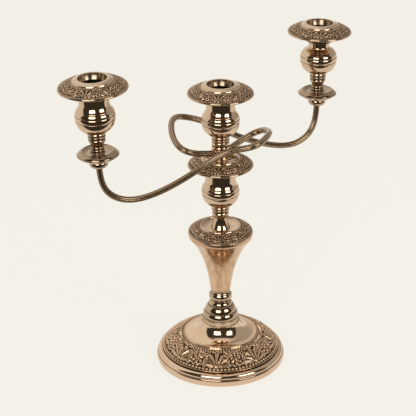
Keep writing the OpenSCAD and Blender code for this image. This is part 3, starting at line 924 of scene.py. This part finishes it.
def plated_group():
    """Colour and roughness of worn plate from its patches, its marks and its recesses, which are
    darkened partly as tarnish and partly as painted shade.
    """
    group = new_group("worn_plate_with_painted_shade", [
        ("Clean", "NodeSocketColor", (0.72, 0.5, 0.34, 1)),
        ("Warm", "NodeSocketColor", (0.6, 0.36, 0.2, 1)),
        ("TarnishAndShade", "NodeSocketColor", (0.1, 0.06, 0.035, 1)),
        ("Patches", "NodeSocketFloat", 0.0), ("Marks", "NodeSocketFloat", 0.0),
        ("Recess", "NodeSocketFloat", 0.0),
        ("Polish", "NodeSocketFloat", 0.1), ("Dullness", "NodeSocketFloat", 0.3),
        ("Marking", "NodeSocketFloat", 0.22),
    ], [("Colour", "NodeSocketColor"), ("Roughness", "NodeSocketFloat")])
    entry = group.nodes.new("NodeGroupInput")
    leave = group.nodes.new("NodeGroupOutput")
    film = maths(group, "MULTIPLY", entry.outputs["Marks"], entry.outputs["Marking"])
    patches = maths(group, "MULTIPLY", entry.outputs["Patches"], 0.6)
    both = maths(group, "ADD", film, patches, clamp=True)
    warm = mixed(group, both, entry.outputs["Clean"], entry.outputs["Warm"])
    # Recesses take the darkest colour: tarnish and painted shade together.
    colour = mixed(group, entry.outputs["Recess"], warm, entry.outputs["TarnishAndShade"])
    dull = maths(group, "ADD", maths(group, "MULTIPLY", both, 0.35), entry.outputs["Recess"], True)
    rough = add(group, "ShaderNodeMapRange", [
        ("Value", dull), ("To Min", entry.outputs["Polish"]), ("To Max", entry.outputs["Dullness"]),
    ])
    group.links.new(colour, leave.inputs["Colour"])
    group.links.new(rough.outputs[0], leave.inputs["Roughness"])
    return group


def placed_group(tree, group, links):
    made = tree.nodes.new("ShaderNodeGroup")
    made.node_tree = group
    for socket, source in links:
        if isinstance(source, bpy.types.NodeSocket):
            tree.links.new(source, made.inputs[socket])
        else:
            made.inputs[socket].default_value = source
    return made


def blank_material(name):
    material = bpy.data.materials.new(name)
    material.use_nodes = True
    tree = material.node_tree
    tree.nodes.clear()
    shader = tree.nodes.new("ShaderNodeBsdfPrincipled")
    leave = tree.nodes.new("ShaderNodeOutputMaterial")
    tree.links.new(shader.outputs["BSDF"], leave.inputs["Surface"])
    return material, tree, shader


def plate_material(name, clean, warm, tarnish_and_shade, polish, dullness, patch_scale, stretch,
                   mark_scale, recess_low, recess_high, dent, marking=0.22):
    """Polished silver plate with its warm film, marks, slight dents, and grooves darkened by
    tarnish and painted shade.
    """
    material, tree, shader = blank_material(name)
    where = tree.nodes.new("ShaderNodeTexCoord").outputs["Object"]
    patches = placed_group(tree, groups["patches"], [
        ("Vector", where), ("Scale", patch_scale), ("Low", 0.46), ("High", 0.74),
    ])
    marks = placed_group(tree, groups["marks"], [
        ("Vector", where), ("Stretch", stretch), ("Scale", mark_scale),
    ])
    hollow = add(tree, "ShaderNodeAttribute", attribute_name="recess").outputs["Fac"]
    recess = ranged(tree, hollow, recess_low, recess_high)
    plate = placed_group(tree, groups["plate"], [
        ("Clean", clean), ("Warm", warm), ("TarnishAndShade", tarnish_and_shade),
        ("Patches", patches.outputs["Mask"]), ("Marks", marks.outputs["Mark"]),
        ("Recess", recess), ("Polish", polish), ("Dullness", dullness), ("Marking", marking),
    ])
    dents = add(tree, "ShaderNodeTexNoise", [
        ("Vector", where), ("Scale", 85.0), ("Detail", 2.0), ("Roughness", 0.5),
    ])
    height = maths(tree, "ADD", maths(tree, "MULTIPLY", dents.outputs[0], dent),
                   maths(tree, "MULTIPLY", marks.outputs["Mark"], 0.012))
    bump = add(tree, "ShaderNodeBump", [("Height", height), ("Distance", 0.001)])
    bump.inputs["Strength"].default_value = 0.6
    tree.links.new(plate.outputs["Colour"], shader.inputs["Base Color"])
    tree.links.new(plate.outputs["Roughness"], shader.inputs["Roughness"])
    tree.links.new(bump.outputs["Normal"], shader.inputs["Normal"])
    shader.inputs["Metallic"].default_value = 1.0
    return material


def hidden_material(name, colour, speck, metallic, roughness, scale):
    """Finish of the inner pieces: a little uneven in colour and grain."""
    material, tree, shader = blank_material(name)
    where = tree.nodes.new("ShaderNodeTexCoord").outputs["Object"]
    patches = placed_group(tree, groups["patches"], [
        ("Vector", where), ("Scale", scale), ("Low", 0.35), ("High", 0.7),
    ])
    shade = mixed(tree, patches.outputs["Mask"], colour, speck)
    rough = ranged(tree, patches.outputs["Mask"], 0.0, 1.0, roughness, min(1.0, roughness + 0.2))
    bump = add(tree, "ShaderNodeBump", [
        ("Height", patches.outputs["Mask"]), ("Distance", 0.0003),
    ])
    tree.links.new(shade, shader.inputs["Base Color"])
    tree.links.new(rough, shader.inputs["Roughness"])
    tree.links.new(bump.outputs["Normal"], shader.inputs["Normal"])
    shader.inputs["Metallic"].default_value = metallic
    return material


groups = {"patches": cloud_group(), "marks": streak_group(), "plate": plated_group()}

SILVER = (0.68, 0.505, 0.36, 1)
WARM_SILVER = (0.50, 0.34, 0.22, 1)
COPPERY = (0.75, 0.55, 0.39, 1)
WARM_COPPERY = (0.60, 0.38, 0.23, 1)
# The two darkest browns are mixed into grooves and hollows, partly as tarnish and partly as painted
# shade; the first also serves as the socket's film colour.
BROWN_FILM_AND_SHADE = (0.13, 0.085, 0.05, 1)
DEEP_TARNISH_AND_SHADE = (0.07, 0.045, 0.028, 1)
ROUND_MARKS = (0.35, 0.35, 3.0)
LENGTH_MARKS = (2.6, 2.6, 0.12)

materials = {
    "bright": plate_material("bright_plate", SILVER, WARM_SILVER, BROWN_FILM_AND_SHADE, 0.06, 0.34, 38.0,
                             ROUND_MARKS, 420.0, 0.12, 0.75, 0.10),
    "socket": plate_material("socket_plate", (0.33, 0.26, 0.19, 1), BROWN_FILM_AND_SHADE, BROWN_FILM_AND_SHADE,
                             0.2, 0.34, 60.0, ROUND_MARKS, 300.0, 1.5, 2.0, 0.10),
    # A darker copy of the bright plate: painted shade on the collars and drip pans.
    "shaded": plate_material("shaded_plate", (0.44, 0.325, 0.225, 1), (0.34, 0.23, 0.14, 1),
                             BROWN_FILM_AND_SHADE, 0.08, 0.34, 38.0, ROUND_MARKS, 420.0, 0.12, 0.75, 0.10),
    "stem": plate_material("stem_plate", (0.54, 0.40, 0.28, 1), (0.42, 0.29, 0.18, 1), BROWN_FILM_AND_SHADE,
                           0.07, 0.34, 38.0, ROUND_MARKS, 420.0, 0.08, 0.5, 0.10),
    "trumpet": plate_material("streaked_plate", (0.76, 0.535, 0.355, 1),
                              (0.50, 0.31, 0.18, 1), BROWN_FILM_AND_SHADE, 0.14, 0.36, 30.0, LENGTH_MARKS,
                              130.0, 0.12, 0.75, 0.12, 0.9),
    "base": plate_material("base_plate_silver", COPPERY, WARM_COPPERY, BROWN_FILM_AND_SHADE, 0.08, 0.36,
                           26.0, ROUND_MARKS, 300.0, 0.12, 0.75, 0.14),
    "arm": plate_material("reeded_plate", (0.42, 0.30, 0.19, 1), (0.34, 0.235, 0.145, 1),
                          DEEP_TARNISH_AND_SHADE, 0.22, 0.34, 30.0, (1.0, 1.0, 1.0), 25.0, 0.15, 0.7, 0.0,
                          0.1),
    # A darker copy of the base border's plate: painted shade and painted dark reflection on the
    # nozzle and stem borders.
    "ornament": plate_material("struck_plate", (0.52, 0.365, 0.245, 1), (0.34, 0.21, 0.13, 1),
                               DEEP_TARNISH_AND_SHADE, 0.10, 0.45, 90.0, (1.0, 1.0, 1.0), 500.0,
                               0.38, 0.68, 0.06),
    "base_ornament": plate_material("struck_base_plate", (0.68, 0.47, 0.30, 1),
                                    (0.46, 0.29, 0.18, 1), DEEP_TARNISH_AND_SHADE, 0.10, 0.45, 90.0,
                                    (1.0, 1.0, 1.0), 500.0, 0.44, 0.74, 0.06),
    "steel": hidden_material("zinc_steel", (0.42, 0.43, 0.45, 1), (0.30, 0.31, 0.33, 1),
                             1.0, 0.32, 300.0),
    "pitch": hidden_material("pitch_and_plaster", (0.02, 0.016, 0.013, 1),
                             (0.05, 0.042, 0.035, 1), 0.0, 0.7, 160.0),
    "felt": hidden_material("green_baize", (0.012, 0.05, 0.025, 1), (0.03, 0.09, 0.05, 1),
                            0.0, 0.85, 900.0),
}

HIDDEN_NODES = {
    "base_felt": "felt", "base_filling": "pitch",
    "base_plate": "steel", "tie_rod": "steel", "tie_washer": "steel", "base_nut": "steel",
    "cup_nut": "steel", "branch_rod": "steel", "plug_nut": "steel", "centre_nut": "steel",
    "left_stud": "steel", "right_stud": "steel", "left_nut": "steel", "right_nut": "steel",
}


def finish_hidden_nodes():
    for node, finish in HIDDEN_NODES.items():
        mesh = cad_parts[node].data
        mesh.materials.clear()
        mesh.materials.append(materials[finish])


# --- Assembly ---

def light_place(azimuth, rise, lean, arm_level):
    """Place of a side light: the end of its arm, leaning outwards."""
    foot = arm_level + ARM_ROUTE[-1][2] + rise
    turn = Matrix.Rotation(math.radians(azimuth), 4, "Z")
    out = Matrix.Translation((LIGHT_REACH * MM, 0, foot * MM))
    return turn @ out @ Matrix.Rotation(math.radians(lean), 4, "Y")


def build():
    arm_level = level("branch_hub") + 2.7
    base_shell()
    stem_foot()
    stem_knop()
    stem_trumpet()
    stem_dish()
    stem_neck()
    lower_cup = level("lower_cup")
    vase_cup("lower_cup", wide_neck(15.3), ROD_HOLE_R, "candlestick", lifted(lower_cup))
    plain_nozzle("lower", "lower_nozzle", lifted(lower_cup + RIM_ABOVE_CUP))
    branch_column()
    centre_cup = level("centre_cup")
    vase_cup("centre_cup", wide_neck(14.2), ROD_HOLE_R, "branch", lifted(centre_cup))
    plain_nozzle("centre", "centre_nozzle", lifted(centre_cup + RIM_ABOVE_CUP))
    left, right = 180 - LIGHT_SET_BACK, LIGHT_SET_BACK
    arm("left", left, ARM_SETTLE, LEFT_LEAN, arm_level)
    arm("right", right, -ARM_SETTLE, RIGHT_LEAN, arm_level)
    side_light("left", light_place(left, ARM_SETTLE, LEFT_LEAN, arm_level))
    side_light("right", light_place(right, -ARM_SETTLE, RIGHT_LEAN, arm_level))
    finish_hidden_nodes()


# --- Studio ---

# The view, in degrees and metres
VIEW_AZIMUTH = -40.5
VIEW_ELEVATION = 24.68
VIEW_DISTANCE = 1.5
AIM_HEIGHT = 0.1686
LENS = 129.9
AXIS_SHIFT = -0.030
# The pale paper, and the darker room and side wall that the metal mirrors
PAPER = (0.913, 0.886, 0.815, 1)
DARK_ROOM = (0.05, 0.044, 0.032, 1)
PAPER_FRONT = 0.15
FLOOR_GLOW = 0.905
FLOOR_WHITE = (0.07, 0.067, 0.063, 1)
ROOM_AZIMUTH = VIEW_AZIMUTH + 6
WALL_WAY = (VIEW_AZIMUTH + 125, 26)
WALL_SHADE = 0.5


def towards(azimuth, elevation):
    """Direction from the object to a place seen at these angles."""
    a, e = math.radians(azimuth), math.radians(elevation)
    return Vector((math.sin(a) * math.cos(e), -math.cos(a) * math.cos(e), math.sin(e)))


def share_along(tree, vector, direction):
    """How far a vector in the shader reaches along a fixed direction."""
    product = add(tree, "ShaderNodeVectorMath", [(0, vector), (1, tuple(direction))],
                  operation="DOT_PRODUCT")
    return product.outputs["Value"]


def camera():
    data = bpy.data.cameras.new("camera")
    data.lens = LENS
    data.sensor_width = 36
    data.shift_x = AXIS_SHIFT
    made = bpy.data.objects.new("camera", data)
    bpy.context.scene.collection.objects.link(made)
    aim = Vector((0, 0, AIM_HEIGHT))
    made.location = aim + towards(VIEW_AZIMUTH, VIEW_ELEVATION) * VIEW_DISTANCE
    made.rotation_euler = (math.radians(90 - VIEW_ELEVATION), 0, math.radians(VIEW_AZIMUTH))
    bpy.context.scene.camera = made


def softbox(name, azimuth, elevation, distance, width, height, radiance):
    """Rectangular soft light that faces the object."""
    data = bpy.data.lights.new(name, "AREA")
    data.shape = "RECTANGLE"
    data.size = width
    data.size_y = height
    data.energy = radiance * math.pi * width * height
    data.color = (1.0, 0.97, 0.92)
    made = bpy.data.objects.new(name, data)
    bpy.context.scene.collection.objects.link(made)
    made.location = Vector((0, 0, 0.2)) + towards(azimuth, elevation) * distance
    made.rotation_euler = (math.radians(90 - elevation), 0, math.radians(azimuth))


def floor():
    """Pale paper floor; what the metal mirrors of it ends a little way in front of the object."""
    size = 9.0
    mesh = bpy.data.meshes.new("paper_floor")
    corners = [(-size, -size, 0), (size, -size, 0), (size, size, 0), (-size, size, 0)]
    mesh.from_pydata(corners, [], [(0, 1, 2, 3)])
    made = bpy.data.objects.new("paper_floor", mesh)
    bpy.context.scene.collection.objects.link(made)
    material, tree, shader = blank_material("pale_paper")
    where = tree.nodes.new("ShaderNodeTexCoord").outputs["Object"]
    ahead = share_along(tree, where, towards(ROOM_AZIMUTH, 0))
    beyond = ranged(tree, ahead, PAPER_FRONT, PAPER_FRONT + 0.07)
    mirrored = maths(tree, "MULTIPLY", beyond, tree.nodes.new("ShaderNodeLightPath").outputs[
        "Is Glossy Ray"])
    grain = add(tree, "ShaderNodeTexNoise", [("Vector", where), ("Scale", 40.0)])
    pale = mixed(tree, maths(tree, "MULTIPLY", grain.outputs[0], 0.02), PAPER, (0.8, 0.8, 0.8, 1))
    glow = mixed(tree, mirrored, pale, DARK_ROOM)
    tree.links.new(glow, shader.inputs["Emission Color"])
    shader.inputs["Emission Strength"].default_value = FLOOR_GLOW
    tree.links.new(mixed(tree, mirrored, FLOOR_WHITE, (0, 0, 0, 1)), shader.inputs["Base Color"])
    shader.inputs["Roughness"].default_value = 1.0
    shader.inputs["Specular IOR Level"].default_value = 0.0
    mesh.materials.append(material)


def studio_world():
    """Pale surround, with the darker room that the metal mirrors on the camera's side."""
    world = bpy.data.worlds.new("studio")
    world.use_nodes = True
    tree = world.node_tree
    tree.nodes.clear()
    way = tree.nodes.new("ShaderNodeTexCoord").outputs["Generated"]
    level_way = add(tree, "ShaderNodeVectorMath", [(0, way), (1, (1, 1, 0))],
                    operation="MULTIPLY").outputs["Vector"]
    level_way = add(tree, "ShaderNodeVectorMath", [(0, level_way)],
                    operation="NORMALIZE").outputs["Vector"]
    facing = share_along(tree, level_way, towards(ROOM_AZIMUTH, 0))
    ahead = ranged(tree, facing, 0.02, 0.16)
    height = add(tree, "ShaderNodeSeparateXYZ", [("Vector", way)]).outputs["Z"]
    room = maths(tree, "MULTIPLY", ahead, ranged(tree, height, 0.95, 0.86))
    beside = share_along(tree, way, towards(*WALL_WAY))
    wall = maths(tree, "MULTIPLY", ranged(tree, beside, 0.6, 0.85), WALL_SHADE)
    room = maths(tree, "MAXIMUM", room, wall)
    glossy = tree.nodes.new("ShaderNodeLightPath").outputs["Is Glossy Ray"]
    dark = maths(tree, "MULTIPLY", room, glossy)
    colour = mixed(tree, dark, PAPER, DARK_ROOM)
    back = add(tree, "ShaderNodeBackground", [("Color", colour), ("Strength", 1.0)])
    leave = tree.nodes.new("ShaderNodeOutputWorld")
    tree.links.new(back.outputs[0], leave.inputs["Surface"])
    bpy.context.scene.world = world


def studio():
    camera()
    floor()
    studio_world()
    softbox("left_softbox", VIEW_AZIMUTH - 17, 24, 1.5, 0.85, 0.7, 5.0)
    softbox("right_softbox", VIEW_AZIMUTH + 49, 24, 1.5, 0.7, 0.7, 4.5)
    bpy.context.scene.view_settings.view_transform = "Standard"


build()
studio()
